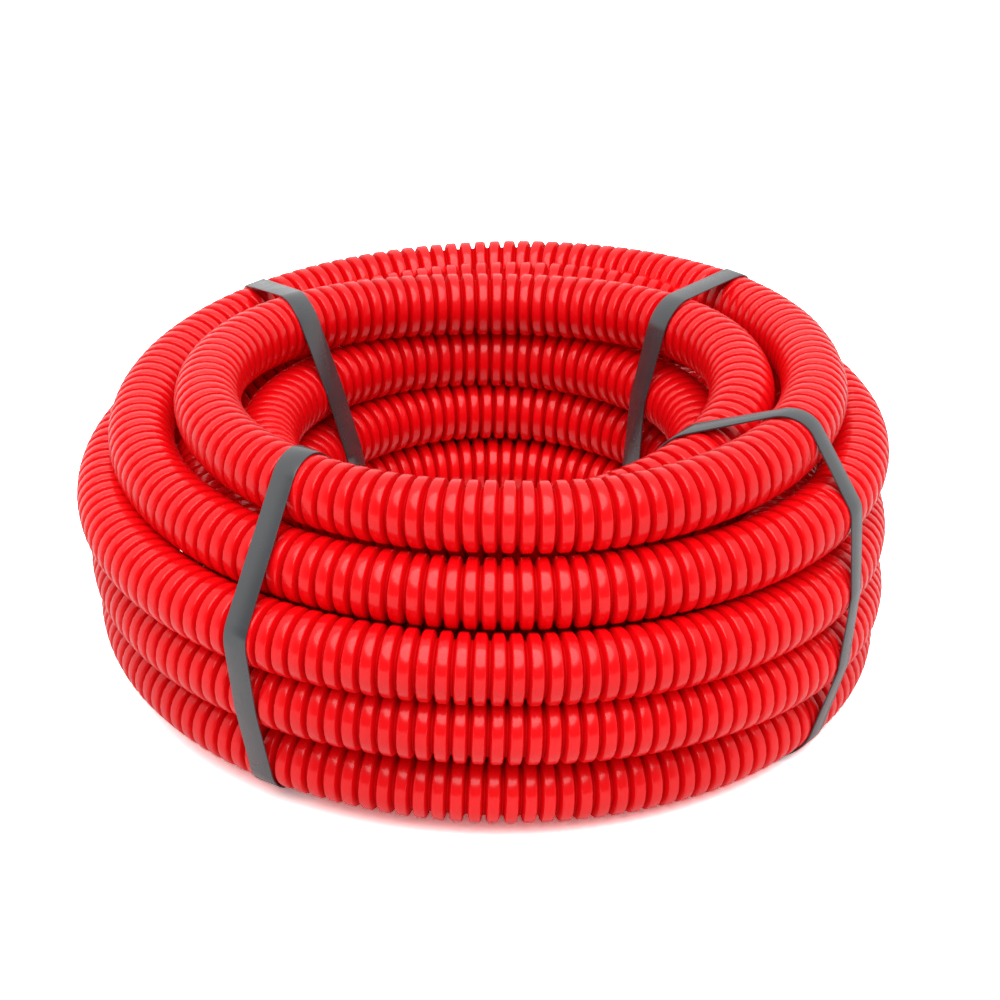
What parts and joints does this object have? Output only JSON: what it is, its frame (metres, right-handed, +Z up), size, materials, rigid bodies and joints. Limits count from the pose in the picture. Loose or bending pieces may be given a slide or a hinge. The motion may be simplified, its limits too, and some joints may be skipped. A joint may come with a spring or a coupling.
{
  "type": "corrugated conduit coil",
  "caption": "Flat-lying strapped coil of flexible corrugated conduit, wound in stacked turns round an open centre, for running and protecting cables.",
  "frame": {"origin": "centre of the coil's footprint, on the ground under the straps", "axes": "+Z up along the coil's own axis; -Y is the front, +X is right seen from the front"},
  "size_m": [0.39, 0.39, 0.162],
  "materials": {
    "conduit": "satin red polyethylene, moulded in colour",
    "strap": "smooth dark grey polypropylene strapping"
  },
  "bodies": {
    "root": {"conduit_coil": "conduit", "strap_front_left": "strap", "strap_front_right": "strap", "strap_back_right": "strap", "strap_back_left": "strap"}
  },
  "joints": []
}
